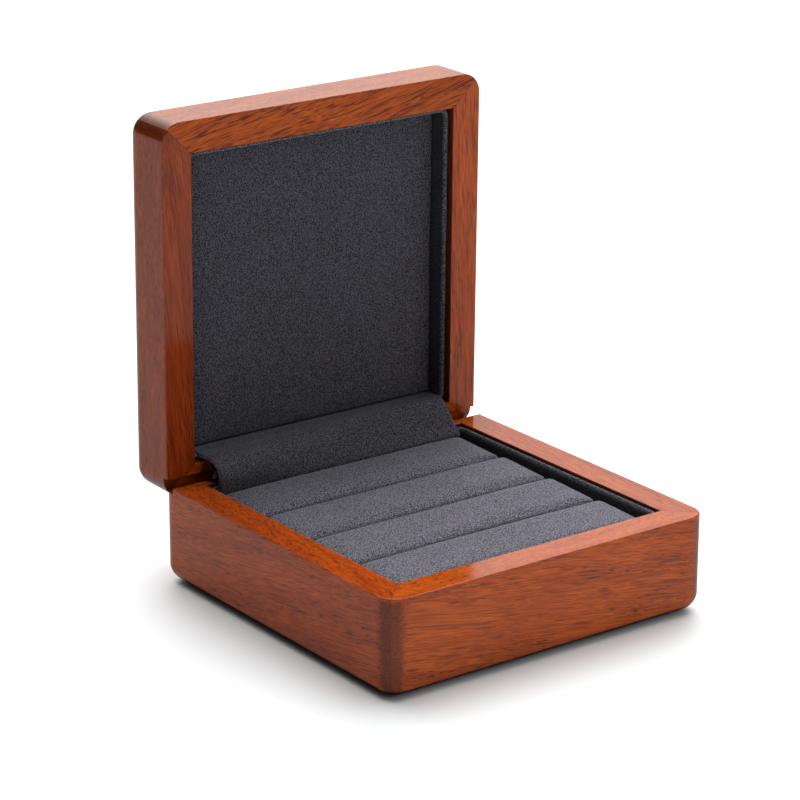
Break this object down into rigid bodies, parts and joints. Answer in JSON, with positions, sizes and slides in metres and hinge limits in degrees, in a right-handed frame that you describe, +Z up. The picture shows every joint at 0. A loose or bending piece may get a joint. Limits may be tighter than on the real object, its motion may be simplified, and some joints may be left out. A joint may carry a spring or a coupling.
{
  "type": "ring display box",
  "caption": "Square wooden ring box with mitred rails, a hinged lid on a concealed spring hinge, cloth linings, a padded lid and padded rolls that hold rings.",
  "frame": {"origin": "middle of the base's underside, on the surface that the box stands on", "axes": "+X along the hinge to the right, +Y to the back, +Z up; the lid is drawn open"},
  "size_m": [0.105, 0.1194, 0.1284],
  "materials": {
    "rail_wood": "reddish hardwood, satin lacquer",
    "panel_wood": "reddish hardwood veneer, satin lacquer",
    "bottom_board": "plywood",
    "underside_felt": "thin black felt",
    "lining_cloth": "charcoal microfibre over card",
    "roll_cloth": "charcoal microfibre over foam",
    "pad_cloth": "charcoal microfibre over foam",
    "flap_cloth": "charcoal microfibre over thin card",
    "card": "grey board",
    "hinge_steel": "zinc-plated",
    "spring_steel": "oil-tempered wire"
  },
  "bodies": {
    "base": {"base_front_rail": "rail_wood", "base_back_rail": "rail_wood", "base_left_rail": "rail_wood", "base_right_rail": "rail_wood", "base_bottom_board": "bottom_board", "underside_felt": "underside_felt", "base_front_lining": "lining_cloth", "base_back_lining": "lining_cloth", "base_left_lining": "lining_cloth", "base_right_lining": "lining_cloth", "ring_tray_board": "card", "ring_roll_1": "roll_cloth", "ring_roll_2": "roll_cloth", "ring_roll_3": "roll_cloth", "ring_roll_4": "roll_cloth", "hinge_flap": "flap_cloth", "hinge_base_leaf": "hinge_steel", "hinge_pin": "hinge_steel", "hinge_springs": "spring_steel", "hinge_base_screws": "hinge_steel"},
    "lid": {"lid_front_rail": "rail_wood", "lid_back_rail": "rail_wood", "lid_left_rail": "rail_wood", "lid_right_rail": "rail_wood", "lid_top_panel": "panel_wood", "lid_front_lining": "lining_cloth", "lid_back_lining": "lining_cloth", "lid_left_lining": "lining_cloth", "lid_right_lining": "lining_cloth", "lid_pad_board": "card", "lid_pad": "pad_cloth", "hinge_lid_leaf": "hinge_steel", "hinge_lid_screws": "hinge_steel"}
  },
  "joints": [
    {"name": "lid_hinge", "type": "hinge", "parent": "base", "child": "lid", "pos_m": [0, 0.0485, 0.0273], "axis": [1, 0, 0], "range_deg": [0, 89.4], "deforming": ["hinge_flap", "hinge_springs"]}
  ]
}
